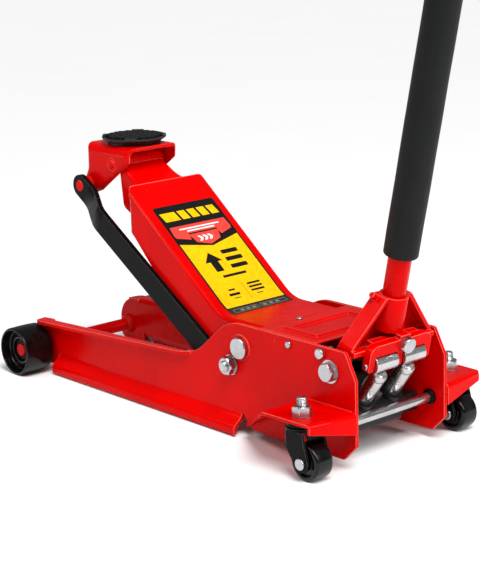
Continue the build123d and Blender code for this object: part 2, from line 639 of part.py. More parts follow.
def ram():
    pin_x = crank_pin_centre()[0]
    face = pin_x - CRANK_PIN_R - RAM_GAP
    rod = along_x((0, RAM_Z), 118, face - 9.7, RAM_R)
    head = along_x((0, RAM_Z), face - 9.7, face, RAM_HEAD_R)
    return rod + chamfer(head.edges().sort_by(Axis.X)[-1:], 1.5)


# ---------------------------------------------------------------- handle yoke and handle
def yoke_front_view(shift=0.0, top=100.0):
    """The yoke seen along the handle's lean: upright feet, then sides that slant to the socket."""
    slant = 52.0 / 64.0
    foot, knee = YOKE_HALF - shift, 36 - shift * 0.45
    neck = foot - (top - knee) * slant
    return outline((-foot, -30, 0), (-foot, knee, 12), (-neck, top, 0), (neck, top, 0),
                   (foot, knee, 12), (foot, -30, 0))


def yoke_shell():
    """A-shaped yoke: two folded side plates, a front wall and a cross plate for the rollers."""
    rear, front, thick = -20.5, 4.4, 5.0
    side = hull((0, 0, 18), (rear + 4, 34, 4), (front - 4, 34, 4))
    side += outline((rear, 33, 0), (front, 33, 0), (front, 101, 0), (rear, 101, 0))
    shell = front_slab(yoke_front_view(), -30, 30) & side_slab(side, -90, 90)
    shell -= front_slab(yoke_front_view(thick, 103.0), -40, front - thick)
    shell -= Pos(0, 0, -7) * Box(80, 2 * (YOKE_HALF - thick), 42)
    cross = Pos(0, 0, 31.5) * Box(80, 200, 7) + Pos(0, 0, 35.5) * Box(80, 88, 15)
    shell += front_slab(yoke_front_view(), CARRIER_FRONT, -16) & cross
    shell -= cross_rod((0, 0), -90, 90, YOKE_BOLT_R + RUN)
    shell -= upright((SOCKET_U, 0), 49, 110, SOCKET_R)
    shell -= lock_screw_blank()
    shell -= along_x((-6, 37), -30, -10, 5)
    return in_yoke(shell)


def handle_socket():
    tube = upright((SOCKET_U, 0), 50, 99, SOCKET_R)
    tube -= upright((SOCKET_U, 0), 40, 110, HANDLE_R + RUN)
    return in_yoke(chamfer(tube.edges().sort_by(Axis.Z)[-1:], 0.6))


def lock_screw_blank():
    plane = Plane(origin=(-3, 18, 88), x_dir=(1, 0, 0), z_dir=(0, 0.776, 0.63))
    return plane * Cylinder(4, 22, align=(Align.CENTER, Align.CENTER, Align.MIN))


def lock_screw():
    screw = lock_screw_blank() - upright((SOCKET_U, 0), 40, 120, SOCKET_R)
    return in_yoke(screw)


def roller_carrier():
    """E-shaped block whose three lugs hold the rollers' shaft."""
    low, bar, top = 7.0, 28.0, 44.0
    face = outline(
        (-58, low, 3), (-58, top, 13), (58, top, 13), (58, low, 3),
        (48, low, 2), (48, bar, 4), (5, bar, 4), (5, low, 2), (-5, low, 2), (-5, bar, 4),
        (-48, bar, 4), (-48, low, 2))
    middle = (CARRIER_BACK + CARRIER_FRONT) / 2
    carrier = front_slab(face, CARRIER_BACK, CARRIER_FRONT)
    carrier += Pos(middle, -5, 46) * Box(CARRIER_FRONT - CARRIER_BACK, 18, 7)
    carrier -= cross_rod(ROLLER, -90, 90, ROLLER_SHAFT_R)
    return in_yoke(carrier - along_x((-6, 37), -60, -20, 5))


def roller_shaft():
    shaft = cross_rod(ROLLER, -61, 61, ROLLER_SHAFT_R)
    return in_yoke(fillet(shaft.edges().sort_by(Axis.Y)[:1] + shaft.edges().sort_by(Axis.Y)[-1:], 1.5))


def roller(y_low, y_high):
    tube = cross_rod(ROLLER, y_low, y_high, ROLLER_R)
    tube = fillet(tube.edges().sort_by(Axis.Y)[:1] + tube.edges().sort_by(Axis.Y)[-1:], 0.8)
    return in_yoke(tube - cross_rod(ROLLER, -90, 90, ROLLER_SHAFT_R + RUN))


def carrier_bolt():
    head = along_x((-6, 37), CARRIER_BACK - 10, CARRIER_BACK, 11)
    head = fillet(head.edges().sort_by(Axis.X)[:1], 1.5)
    return in_yoke(head + along_x((-6, 37), CARRIER_BACK, -13, 5))


def handle_lower_tube():
    low, high = HANDLE_W[0], HANDLE_JOINT
    tube = upright((SOCKET_U, 0), low, high, HANDLE_R) - upright((SOCKET_U, 0), low - 1, high + 1, HANDLE_BORE)
    return in_yoke(tube - along_x((0, BUTTON_W), -60, SOCKET_U, 4 + RUN))


def handle_upper_tube():
    """Upper half, swaged down to enter the lower half."""
    high = HANDLE_W[1]
    tube = upright((SOCKET_U, 0), HANDLE_JOINT, high, HANDLE_R)
    tube += upright((SOCKET_U, 0), HANDLE_JOINT - 50, HANDLE_JOINT, HANDLE_BORE)
    tube -= upright((SOCKET_U, 0), HANDLE_JOINT - 51, high + 1, HANDLE_BORE - 2)
    return in_yoke(tube - along_x((0, BUTTON_W), -60, SOCKET_U, 4 + RUN))


def foam_sleeve():
    sleeve = upright((SOCKET_U, 0), *SLEEVE_W, SLEEVE_R)
    sleeve = fillet(sleeve.edges().sort_by(Axis.Z)[:1] + sleeve.edges().sort_by(Axis.Z)[-1:], 3)
    return in_yoke(sleeve - upright((SOCKET_U, 0), 100, 700, HANDLE_R))


def handle_grip():
    """Rubber grip that covers the handle's end."""
    grip = upright((SOCKET_U, 0), GRIP_W, HANDLE_W[1] + GRIP_END, GRIP_R)
    grip = fillet(grip.edges().sort_by(Axis.Z)[:1] + grip.edges().sort_by(Axis.Z)[-1:], GRIP_ROUND)
    return in_yoke(grip - upright((SOCKET_U, 0), GRIP_W - 5, HANDLE_W[1], HANDLE_R))


def spring_button():
    """Button that locks the handle's halves together."""
    button = along_x((0, BUTTON_W), SOCKET_U - 18, SOCKET_U - 6, 4)
    return in_yoke(fillet(button.edges().sort_by(Axis.X)[:1], 1.8))


# ---------------------------------------------------------------- all nodes
def handle_end_x():
    """The rearmost point of the jack, at the top of the handle's grip."""
    lean = math.radians(LEAN)
    across = SOCKET_U - GRIP_R + GRIP_ROUND
    along = HANDLE_W[1] + GRIP_END - GRIP_ROUND
    return YOKE_PIVOT[0] + across * math.cos(lean) - along * math.sin(lean) - GRIP_ROUND


MIDDLE_X = (AXLE[0] + WHEEL_R + handle_end_x()) / 2


def place(shape):
    """Move a piece so that the origin lies under the middle of the jack's length."""
    return Pos(-MIDDLE_X, 0, 0) * shape


def all_pieces():
    stud, stud_nut = frame_stud()
    roller_y = (6.5, 46.5)
    pieces = {
        "front_axle": front_axle(), "front_axle_clips": both_sides(axle_clip()),
        "rear_tie_rod": cross_rod(TIE_ROD, -PLATE_OUT, PLATE_OUT, TIE_ROD_R),
        "tie_rod_bushes": both_sides(tie_rod_bush()),
        "main_pivot_pin": main_pivot_pin(), "frame_studs": both_sides(stud),
        "frame_stud_nuts": both_sides(stud_nut), "yoke_pivot_bolts": both_sides(yoke_bolt()),
        "stop_pins": both_sides(stop_pin()), "cover_plate": cover_plate(),
        "cover_screws": cover_screws(), "cross_plate": cross_plate(),
        "pump_block": pump_block(), "ram_cylinder": ram_cylinder(),
        "reservoir_shell": reservoir_shell(), "filler_plug": filler_plug(),
        "plunger_wipers": group(plunger_wiper(PLUNGER_Y), plunger_wiper(-PLUNGER_Y)),
        "caster_cups": both_sides(caster_cup()), "caster_studs": both_sides(caster_stud()),
        "caster_nuts": both_sides(caster_nut()),
        "arm_shell": arm_shell(), "arm_pivot_tube": arm_pivot_tube(), "arm_crank": arm_crank(),
        "saddle_bracket": saddle_bracket(), "tip_pin": tip_pin(),
        "link_top_pins": both_sides(link_top_pin()),
        "saddle_cup": saddle_cup(), "saddle_pad": saddle_pad(), "saddle_ring": saddle_ring(),
        "ram": ram(), "release_valve": valve_spindle(),
        "left_plunger": plunger(PLUNGER_Y), "right_plunger": plunger(-PLUNGER_Y),
        "yoke_shell": yoke_shell(), "handle_socket": handle_socket(),
        "handle_lock_screw": lock_screw(), "roller_carrier": roller_carrier(),
        "roller_shaft": roller_shaft(), "carrier_bolt": carrier_bolt(),
        "left_roller": roller(*roller_y), "right_roller": roller(-roller_y[1], -roller_y[0]),
        "handle_lower_tube": handle_lower_tube(), "handle_upper_tube": handle_upper_tube(),
        "foam_sleeve": foam_sleeve(), "handle_grip": handle_grip(), "spring_button": spring_button(),
    }
    for name, make in (("side_plate", side_plate), ("caster_wing", caster_wing),
                       ("front_wheel", front_wheel), ("link", link), ("caster_fork", caster_fork),
                       ("caster_axle", caster_axle), ("caster_wheel", caster_wheel)):
        shape = make()
        pieces["left_" + name] = shape
        pieces["right_" + name] = mirrored(shape)
    return pieces


os.makedirs("parts", exist_ok=True)
for node, piece in all_pieces().items():
    export_step(place(piece), f"parts/{node}.step")
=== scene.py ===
"""Looks of the trolley jack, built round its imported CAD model.

Metres, +X forwards to the saddle, +Y to the jack's left, +Z up.
"""

import json
import math
import random

import bmesh
import bpy
from mathutils import Matrix, Vector, noise
from mathutils.bvhtree import BVHTree


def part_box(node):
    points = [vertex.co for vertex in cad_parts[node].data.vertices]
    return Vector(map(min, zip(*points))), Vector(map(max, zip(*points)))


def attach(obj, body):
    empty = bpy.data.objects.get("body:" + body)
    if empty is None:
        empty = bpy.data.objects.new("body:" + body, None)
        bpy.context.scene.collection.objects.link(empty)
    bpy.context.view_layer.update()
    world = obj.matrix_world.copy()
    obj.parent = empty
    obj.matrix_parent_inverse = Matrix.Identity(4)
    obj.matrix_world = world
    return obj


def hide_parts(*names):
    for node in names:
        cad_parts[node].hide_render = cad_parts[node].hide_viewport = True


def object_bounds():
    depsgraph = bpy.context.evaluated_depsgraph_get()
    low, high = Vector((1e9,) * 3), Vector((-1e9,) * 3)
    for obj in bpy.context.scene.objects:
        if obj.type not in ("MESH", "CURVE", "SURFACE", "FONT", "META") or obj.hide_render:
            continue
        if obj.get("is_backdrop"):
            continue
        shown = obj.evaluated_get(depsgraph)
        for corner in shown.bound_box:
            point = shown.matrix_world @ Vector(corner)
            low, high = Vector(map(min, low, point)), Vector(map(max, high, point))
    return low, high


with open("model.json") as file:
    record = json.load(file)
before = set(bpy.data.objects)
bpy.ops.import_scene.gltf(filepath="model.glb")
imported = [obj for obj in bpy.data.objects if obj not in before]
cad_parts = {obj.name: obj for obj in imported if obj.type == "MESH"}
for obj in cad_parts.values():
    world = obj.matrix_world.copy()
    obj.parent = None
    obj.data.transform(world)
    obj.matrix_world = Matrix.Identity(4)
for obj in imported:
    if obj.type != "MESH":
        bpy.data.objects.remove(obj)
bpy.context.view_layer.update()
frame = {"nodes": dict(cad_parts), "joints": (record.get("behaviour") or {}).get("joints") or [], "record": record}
NODES = frame["nodes"]
JOINTS = {joint["name"]: joint for joint in frame["joints"]}
MM = 0.001
SIDES = {"left": 1, "right": -1}

# Driving places, all read from the frame.
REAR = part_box("left_side_plate")[0].x            # rear edge of the side plates
HANDLE_FOOT = Vector(JOINTS["handle_twist"]["pos_m"])
HANDLE_AXIS = Vector(JOINTS["handle_twist"]["axis"]).normalized()


# ---------------------------------------------------------------- shader helpers
def new_material(name, colour, roughness, metallic=0.0, **sockets):
    """A Principled material; sockets are constants on the shader, such as IOR=1.4."""
    material = bpy.data.materials.new(name)
    material.use_nodes = True
    shader = material.node_tree.nodes["Principled BSDF"]
    shader.inputs["Base Color"].default_value = (*colour, 1)
    shader.inputs["Roughness"].default_value = roughness
    shader.inputs["Metallic"].default_value = metallic
    for socket, value in sockets.items():
        shader.inputs[socket.replace("_", " ")].default_value = value
    return material, material.node_tree, shader


def texture(tree, kind, stretch=(1, 1, 1), **values):
    """A texture over the object's own metres, with its coordinates scaled by stretch."""
    where = tree.nodes.new("ShaderNodeTexCoord")
    mapping = tree.nodes.new("ShaderNodeMapping")
    mapping.inputs["Scale"].default_value = stretch
    made = tree.nodes.new("ShaderNodeTex" + kind)
    tree.links.new(where.outputs["Object"], mapping.inputs["Vector"])
    tree.links.new(mapping.outputs["Vector"], made.inputs["Vector"])
    for socket, value in values.items():
        made.inputs[socket].default_value = value
    return made.outputs[0]


def remap(tree, value, low, high, start=0.0, end=1.0):
    """Map value from start..end onto low..high, clamped."""
    made = tree.nodes.new("ShaderNodeMapRange")
    tree.links.new(value, made.inputs["Value"])
    for socket, number in (("From Min", start), ("From Max", end), ("To Min", low), ("To Max", high)):
        made.inputs[socket].default_value = number
    return made.outputs["Result"]


def mix(tree, share, first, second):
    """Blend two colours, each a socket or three numbers."""
    made = tree.nodes.new("ShaderNodeMix")
    made.data_type = "RGBA"
    tree.links.new(share, made.inputs[0])
    for socket, colour in ((made.inputs[6], first), (made.inputs[7], second)):
        if isinstance(colour, tuple):
            socket.default_value = (*colour, 1)
        else:
            tree.links.new(colour, socket)
    return made.outputs[2]


def bump(tree, shader, *layers):
    """Stack bump layers, each (height socket, depth in metres, strength)."""
    under = None
    for height, depth, strength in layers:
        made = tree.nodes.new("ShaderNodeBump")
        made.inputs["Distance"].default_value = depth
        made.inputs["Strength"].default_value = strength
        tree.links.new(height, made.inputs["Height"])
        if under is not None:
            tree.links.new(under, made.inputs["Normal"])
        under = made.outputs["Normal"]
    tree.links.new(under, shader.inputs["Normal"])


HIGHLIGHT_FROM = (-0.60, 0.20, 0.77)    # painted highlight: edges that face this way, towards the key light, are painted palest
SHARP_EDGE, NO_EDGE = 0.6, 0.985     # cosine between rounded and flat normals, on an edge and beside it
FACING_AWAY, FACING_FULLY = 0.0, 0.75    # cosine between an edge's normal and the light direction of the painted highlight
LEAST_HIGHLIGHT, MOST_HIGHLIGHT = 0.1, 1.0     # share of the painted highlight at those two


def dot_product(tree, first):
    """A dot product node with its first vector linked."""
    made = tree.nodes.new("ShaderNodeVectorMath")
    made.operation = "DOT_PRODUCT"
    tree.links.new(first, made.inputs[0])
    return made


def edge_highlight(tree, radius, strength):
    """Painted highlight along edges: strength on sharp edges that face the key light, and 0 on flat ground."""
    rounded = tree.nodes.new("ShaderNodeBevel")
    rounded.samples = 4
    rounded.inputs["Radius"].default_value = radius
    flat = tree.nodes.new("ShaderNodeNewGeometry")
    spread = dot_product(tree, rounded.outputs["Normal"])
    tree.links.new(flat.outputs["Normal"], spread.inputs[1])
    edge = remap(tree, spread.outputs["Value"], strength, 0.0, SHARP_EDGE, NO_EDGE)
    # painted highlight: edges turned towards the light get the most of the pale edge colour
    facing = dot_product(tree, rounded.outputs["Normal"])
    facing.inputs[1].default_value = HIGHLIGHT_FROM
    highlight_share = remap(tree, facing.outputs["Value"], LEAST_HIGHLIGHT, MOST_HIGHLIGHT, FACING_AWAY, FACING_FULLY)
    both = tree.nodes.new("ShaderNodeMath")
    both.operation = "MULTIPLY"
    tree.links.new(edge, both.inputs[0])
    tree.links.new(highlight_share, both.inputs[1])
    return both.outputs["Value"]


def paint_colour(tree, shader, share, first, second, edge=None):
    """Base colour: first to second by share, and a painted highlight edge=(radius, strength, colour) along the
    edges that face the light.
    """
    body = mix(tree, share, first, second)
    if edge:
        # painted highlight: the pale edge colour is mixed in where edges face the light
        radius, strength, pale = edge
        body = mix(tree, edge_highlight(tree, radius, strength), body, pale)
    tree.links.new(body, shader.inputs["Base Color"])


def roughness_by(tree, shader, value, low, high, start=0.3, end=0.7):
    """Roughness from low to high as value goes from start to end."""
    tree.links.new(remap(tree, value, low, high, start, end), shader.inputs["Roughness"])


# ---------------------------------------------------------------- materials
def red_powder_coat():
    """Glossy red powder coat: orange peel, faint colour drift and a painted salmon highlight along the edges that
    face the light.
    """
    material, tree, shader = new_material("red_powder_coat", (0.70, 0.0, 0.0), 0.24,
                                          IOR=1.22, Specular_IOR_Level=0.25)
    drift = texture(tree, "Noise", Scale=9.0, Detail=3.0)
    # painted highlight: salmon colour along the edges that face the light
    paint_colour(tree, shader, remap(tree, drift, 0.0, 1.0, 0.35, 0.65), (0.57, 0.0, 0.0), (0.67, 0.0, 0.0),
                 edge=(2.0 * MM, 1.0, (1.0, 0.32, 0.24)))
    smear = texture(tree, "Noise", Scale=60.0, Detail=4.0)
    roughness_by(tree, shader, smear, 0.18, 0.32)
    peel = texture(tree, "Noise", Scale=520.0, Detail=2.0)
    bump(tree, shader, (peel, 0.12 * MM, 0.12))
    return material


def black_satin_paint():
    """Satin black paint with a fine spray texture and painted grey highlights along the edges that face the light.
    """
    material, tree, shader = new_material("black_satin_paint", (0.002, 0.002, 0.0022), 0.32,
                                          IOR=1.25, Specular_IOR_Level=0.25)
    cloud = texture(tree, "Noise", Scale=30.0, Detail=4.0)
    # painted highlight: grey along the edges that face the light
    paint_colour(tree, shader, remap(tree, cloud, 0.0, 1.0, 0.3, 0.7),
                 (0.0015, 0.0015, 0.0017), (0.0035, 0.0035, 0.004),
                 edge=(0.9 * MM, 1.0, (0.24, 0.24, 0.25)))
    roughness_by(tree, shader, cloud, 0.26, 0.40)
    spray = texture(tree, "Noise", Scale=900.0, Detail=2.0)
    bump(tree, shader, (spray, 0.08 * MM, 0.12))
    return material


def moulded_nylon():
    """Glossy black nylon of the wheels, with a fine moulded grain."""
    material, tree, shader = new_material("moulded_nylon", (0.002, 0.002, 0.0022), 0.2,
                                          IOR=1.4, Specular_IOR_Level=0.38)
    scuff = texture(tree, "Noise", Scale=60.0, Detail=5.0)
    paint_colour(tree, shader, remap(tree, scuff, 0.0, 1.0, 0.45, 0.8),
                 (0.0015, 0.0015, 0.0017), (0.006, 0.006, 0.0065))
    roughness_by(tree, shader, scuff, 0.14, 0.28, 0.35, 0.75)
    grain = texture(tree, "Noise", Scale=1100.0, Detail=2.0)
    bump(tree, shader, (grain, 0.03 * MM, 0.12))
    return material


def black_casting():
    """Painted casting: a sand-cast skin under semi-gloss black."""
    material, tree, shader = new_material("black_casting", (0.006, 0.006, 0.0065), 0.38,
                                          Specular_IOR_Level=0.3)
    skin = texture(tree, "Noise", Scale=240.0, Detail=6.0)
    lumps = texture(tree, "Voronoi", Scale=420.0)
    # painted highlight: faint grey along the edges that face the light
    paint_colour(tree, shader, remap(tree, skin, 0.0, 1.0, 0.35, 0.7),
                 (0.004, 0.004, 0.0045), (0.014, 0.014, 0.0145),
                 edge=(0.9 * MM, 0.5, (0.14, 0.14, 0.145)))
    roughness_by(tree, shader, skin, 0.30, 0.46)
    bump(tree, shader, (skin, 0.4 * MM, 0.30), (lumps, 0.12 * MM, 0.12))
    return material


def steel(name, colour, roughness, stretch):
    """Bare or plated steel with fine lines. stretch says which way the lines run."""
    tint = 0.06                      # how far the metal clouds from its colour
    material, tree, shader = new_material(name, colour, roughness, metallic=1.0)
    lines = texture(tree, "Noise", stretch=stretch, Scale=700.0, Detail=3.0)
    cloud = texture(tree, "Noise", Scale=55.0, Detail=3.0)
    dark = tuple(c * (1 - 3 * tint) for c in colour)
    light = tuple(min(1.0, c * (1 + tint)) for c in colour)
    paint_colour(tree, shader, remap(tree, cloud, 0.0, 1.0, 0.3, 0.7), dark, light)
    roughness_by(tree, shader, lines, roughness * 0.7, roughness * 1.5)
    bump(tree, shader, (lines, 0.02 * MM, 0.12))
    return material


def rubber(name, colour, roughness, grain, depth):
    """Matte rubber with a fine grain."""
    material, tree, shader = new_material(name, colour, roughness, Specular_IOR_Level=0.25)
    fine = texture(tree, "Noise", Scale=grain, Detail=4.0)
    cloud = texture(tree, "Noise", Scale=22.0, Detail=3.0)
    pale = tuple(c * 1.8 + 0.002 for c in colour)
    paint_colour(tree, shader, remap(tree, cloud, 0.0, 0.6, 0.3, 0.75), colour, pale)
    roughness_by(tree, shader, fine, roughness - 0.08, roughness + 0.08)
    bump(tree, shader, (fine, depth, 0.35))
    return material


def closed_cell_foam():
    """Black foam of the handle sleeve: fine closed cells under a rubbed skin."""
    material, tree, shader = new_material("closed_cell_foam", (0.003, 0.0035, 0.0035), 0.42,
                                          IOR=1.35, Specular_IOR_Level=0.35)
    cells = texture(tree, "Voronoi", Scale=1100.0)
    cloud = texture(tree, "Noise", stretch=(1, 1, 0.4), Scale=40.0, Detail=4.0)
    paint_colour(tree, shader, remap(tree, cloud, 0.0, 1.0, 0.3, 0.75),
                 (0.002, 0.0025, 0.0025), (0.005, 0.0055, 0.0055))
    roughness_by(tree, shader, cells, 0.42, 0.60, 0.0, 0.8)
    bump(tree, shader, (cells, 0.12 * MM, 0.30), (cloud, 0.6 * MM, 0.10))
    return material


def printed_vinyl(name, colour):
    """Printed label film: smooth, a little ink mottle and a faint stipple."""
    material, tree, shader = new_material(name, colour, 0.34, Specular_IOR_Level=0.2)
    mottle = texture(tree, "Noise", Scale=130.0, Detail=4.0)
    deep = tuple(c * 0.86 for c in colour)
    paint_colour(tree, shader, remap(tree, mottle, 0.0, 1.0, 0.35, 0.65), deep, colour)
    roughness_by(tree, shader, mottle, 0.28, 0.42)
    stipple = texture(tree, "Noise", Scale=1400.0, Detail=1.0)
    bump(tree, shader, (stipple, 0.02 * MM, 0.15))
    return material


def pale_floor():
    """Matte pale floor with a faint cloud."""
    material, tree, shader = new_material("pale_floor", (0.93, 0.93, 0.93), 0.8)
    cloud = texture(tree, "Noise", Scale=3.0, Detail=3.0)
    paint_colour(tree, shader, cloud, (0.92, 0.92, 0.92), (0.95, 0.95, 0.95))
    return material


EVERY_WAY = (1.0, 1.0, 1.0)
ALONG_Y = (1.0, 0.04, 1.0)           # lines run along y
RED = red_powder_coat()
BLACK = black_satin_paint()
NYLON = moulded_nylon()
CASTING = black_casting()
ZINC = steel("bright_zinc", (0.50, 0.51, 0.53), 0.24, EVERY_WAY)
ROD_STEEL = steel("drawn_rod", (0.58, 0.58, 0.59), 0.22, ALONG_Y)
ROLLER_STEEL = steel("turned_rollers", (0.60, 0.60, 0.60), 0.22, EVERY_WAY)
RUBBER = rubber("black_rubber", (0.003, 0.003, 0.0033), 0.5, 600.0, 0.15 * MM)
FOAM = closed_cell_foam()
INKS = {
    "black": printed_vinyl("black_ink", (0.006, 0.006, 0.006)),
    "yellow": printed_vinyl("yellow_ink", (0.84, 0.50, 0.0)),
    "coral": printed_vinyl("coral_ink", (0.74, 0.055, 0.04)),
    "white": printed_vinyl("white_ink", (0.82, 0.82, 0.80)),
    "grey": printed_vinyl("grey_ink", (0.025, 0.025, 0.022)),
    "olive": printed_vinyl("olive_ink", (0.20, 0.19, 0.15)),
}


# ---------------------------------------------------------------- mesh helpers
def piece(name, points, faces, material, body, smooth=True):
    """A new mesh piece that rides on a body."""
    mesh = bpy.data.meshes.new(name)
    mesh.from_pydata([tuple(p) for p in points], [], faces)
    mesh.validate()
    mesh.materials.append(material)
    for polygon in mesh.polygons:
        polygon.use_smooth = smooth
    made = bpy.data.objects.new(name, mesh)
    bpy.context.scene.collection.objects.link(made)
    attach(made, body)
    return made


def axes_along(direction):
    """Three unit axes, the last along direction, which isn't x."""
    up = Vector(direction).normalized()
    across = up.cross(Vector((1, 0, 0))).normalized()
    return across.cross(up).normalized(), across, up


def reach(node, origin, axis):
    """How far a CAD node reaches along an axis from origin, lowest and highest, and its outer radius."""
    offsets = [v.co - origin for v in NODES[node].data.vertices]
    along = [o.dot(axis) for o in offsets]
    radius = max((o - axis * a).length for o, a in zip(offsets, along))
    return min(along), max(along), radius


def lathe(origin, axis, profile, segments, wobble=None):
    """Points and faces of a closed turned form, from a profile of (distance along, radius).

    wobble(along, turn) shifts a radius.
    """
    first, second, up = axes_along(axis)
    points, faces = [], []
    for along, radius in profile:
        for n in range(segments):
            turn = 2 * math.pi * n / segments
            r = radius + (wobble(along, turn) if wobble else 0.0)
            points.append(origin + up * along + (first * math.cos(turn) + second * math.sin(turn)) * r)
    rings = len(profile)
    for ring in range(rings):
        after = (ring + 1) % rings
        for n in range(segments):
            m = (n + 1) % segments
            faces.append((ring * segments + n, ring * segments + m,
                          after * segments + m, after * segments + n))
    return points, faces


def rounded_corner(centre_a, centre_r, radius, start, end, steps=5):
    """Points of an arc for a lathe profile: centre along and out from the axis, angles in degrees."""
    turns = [math.radians(start + (end - start) * k / steps) for k in range(steps + 1)]
    return [(centre_a + radius * math.sin(t), centre_r + radius * math.cos(t)) for t in turns]


# ---------------------------------------------------------------- CAD nodes
def dress(node, material, edge):
    """Give a CAD node its material, and a small rounded edge of that width in metres."""
    made = NODES[node]
    made.data.materials.clear()
    made.data.materials.append(material)
    if edge:
        join = made.modifiers.new("join", "WELD")
        join.merge_threshold = 0.002 * MM
        bevel = made.modifiers.new("edge", "BEVEL")
        bevel.width = edge
        bevel.segments = 2
        bevel.limit_method = "ANGLE"
        bevel.angle_limit = math.radians(35)
        bevel.harden_normals = False
        bevel.use_clamp_overlap = True


# Materials by the record's slot names, the nodes that differ, and the slots with rounded edges.
PLAIN = {
    "red_paint": RED, "black_paint": BLACK, "black_cast_iron": CASTING, "black_nylon": NYLON,
    "bright_zinc": ZINC, "ground_steel": ROLLER_STEEL, "rubber": RUBBER, "foam": FOAM,
}
SPECIAL = {"rear_tie_rod": ROD_STEEL}
EDGE = {"red_paint": 0.5 * MM, "black_paint": 0.5 * MM}

for entry in frame["record"]["subparts"]:
    node_name, slot_name = entry["node"], entry["material_slot"]
    dress(node_name, SPECIAL.get(node_name, PLAIN[slot_name]), EDGE.get(slot_name, 0.0))


# ---------------------------------------------------------------- pieces that stand for CAD nodes
TUBE_BORE = 16.02 * MM               # bore of the sleeve and the grip, just clear of the handle's tube


def foam_sleeve():
    """Foam sleeve with rolled ends and a slightly uneven skin."""
    low, high, radius = reach("foam_sleeve", HANDLE_FOOT, HANDLE_AXIS)
    lip, rows, segments = 3.5 * MM, 150, 72
    skin = radius - 0.35 * MM        # set back by about the height of the waves
    waves, grain = 0.30 * MM, 0.10 * MM
    profile = [(low, TUBE_BORE), (low, skin - lip)]
    profile += rounded_corner(low + lip, skin - lip, lip, -90, 0)[1:]
    profile += [(low + lip + (high - low - 2 * lip) * k / rows, skin) for k in range(1, rows)]
    profile += rounded_corner(high - lip, skin - lip, lip, 0, 90)
    profile += [(high, TUBE_BORE)]

    def wobble(along, turn):
        if along < low + lip or along > high - lip:
            return 0.0
        spot = Vector((math.cos(turn) * 1.3, math.sin(turn) * 1.3, along * 14.0))
        return waves * noise.noise(spot) + grain * noise.noise(spot * 5.0)

    points, faces = lathe(HANDLE_FOOT, HANDLE_AXIS, profile, segments, wobble)
    sleeve = piece("foam_sleeve_skin", points, faces, FOAM, "handle")
    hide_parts("foam_sleeve")


def handle_grip():
    """Rubber grip with rounded rings along its length and a domed end."""
    low, high, radius = reach("handle_grip", HANDLE_FOOT, HANDLE_AXIS)
    end_wall, dome, pitch, depth = 6.8 * MM, 4 * MM, 6.0 * MM, 0.9 * MM
    inset, middle, segments = 0.05 * MM, 1.0 * MM, 64
    lead, ends = 4 * MM, 14 * MM     # length before the first ring, and without rings at both ends
    ring_form = ((0.0, 0.0), (0.10, 0.45), (0.18, 1.0), (0.32, 1.0), (0.40, 0.45), (0.50, 0.0), (0.75, 0.0))
    profile = [(low, TUBE_BORE), (low, radius - 1.5 * MM), (low + 0.6 * MM, radius - 0.4 * MM),
               (low + 1.8 * MM, radius - inset)]
    for ring in range(int((high - low - ends) / pitch)):
        start = low + lead + ring * pitch
        for share, drop in ring_form:
            profile.append((start + share * pitch, radius - inset - drop * depth))
    profile += rounded_corner(high - dome, radius - dome, 3.95 * MM, 0, 80, 6)
    profile += [(high - 0.02 * MM, middle), (high - end_wall, middle), (high - end_wall, TUBE_BORE)]
    points, faces = lathe(HANDLE_FOOT, HANDLE_AXIS, profile, segments)
    grip = piece("handle_grip_rings", points, faces, RUBBER, "handle")
    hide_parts("handle_grip")


def saddle_pad():
    """Rubber pad of square blocks with rounded edges between crossing grooves."""
    low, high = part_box("saddle_pad")
    centre, radius = (low + high) / 2, (high.x - low.x) / 2
    rim_radius = radius - 0.4 * MM
    pitch = 11.0 * MM                # from one groove to the next
    # One groove and the block after it: distance from the groove's middle and height under the top, mm.
    steps = [(-1.9, 0.0), (-1.45, 0.12), (-1.2, 0.5), (-1.0, 1.9), (0.0, 2.0), (1.0, 1.9), (1.2, 0.5),
             (1.45, 0.12), (1.9, 0.0), (5.5, 0.0)]
    lines = [(n * pitch + a * MM, d * MM) for n in range(-4, 5) for a, d in steps
             if abs(n * pitch + a * MM) < radius + pitch]
    count = len(lines)
    index, points, faces = {}, [], []

    def vertex(i, j):
        if (i, j) not in index:
            spot = Vector((lines[i][0], lines[j][0]))
            if spot.length > rim_radius:
                spot *= rim_radius / spot.length
            index[i, j] = len(points)
            drop = max(lines[i][1], lines[j][1])
            points.append(Vector((centre.x + spot.x, centre.y + spot.y, high.z - drop)))
        return index[i, j]

    for i in range(count - 1):
        for j in range(count - 1):
            corners = ((i, j), (i + 1, j), (i + 1, j + 1), (i, j + 1))
            if all(math.hypot(lines[a][0], lines[b][0]) < radius + 0.9 * MM for a, b in corners):
                faces.append([vertex(a, b) for a, b in corners])
    mesh = bmesh.new()
    made = [mesh.verts.new(p) for p in points]
    for face in faces:
        mesh.faces.new([made[k] for k in face])
    rim = [e for e in mesh.edges if e.is_boundary]
    for part in bmesh.ops.extrude_edge_only(mesh, edges=rim)["geom"]:
        if isinstance(part, bmesh.types.BMVert):
            part.co.z = low.z
    bmesh.ops.holes_fill(mesh, edges=[e for e in mesh.edges if e.is_boundary], sides=0)
    bmesh.ops.recalc_face_normals(mesh, faces=mesh.faces)
    mesh.verts.index_update()
    cloud = [v.co.copy() for v in mesh.verts]
    polygons = [[v.index for v in f.verts] for f in mesh.faces]
    mesh.free()
    pad = piece("saddle_pad_blocks", cloud, polygons, RUBBER, "saddle", smooth=False)
    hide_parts("saddle_pad")


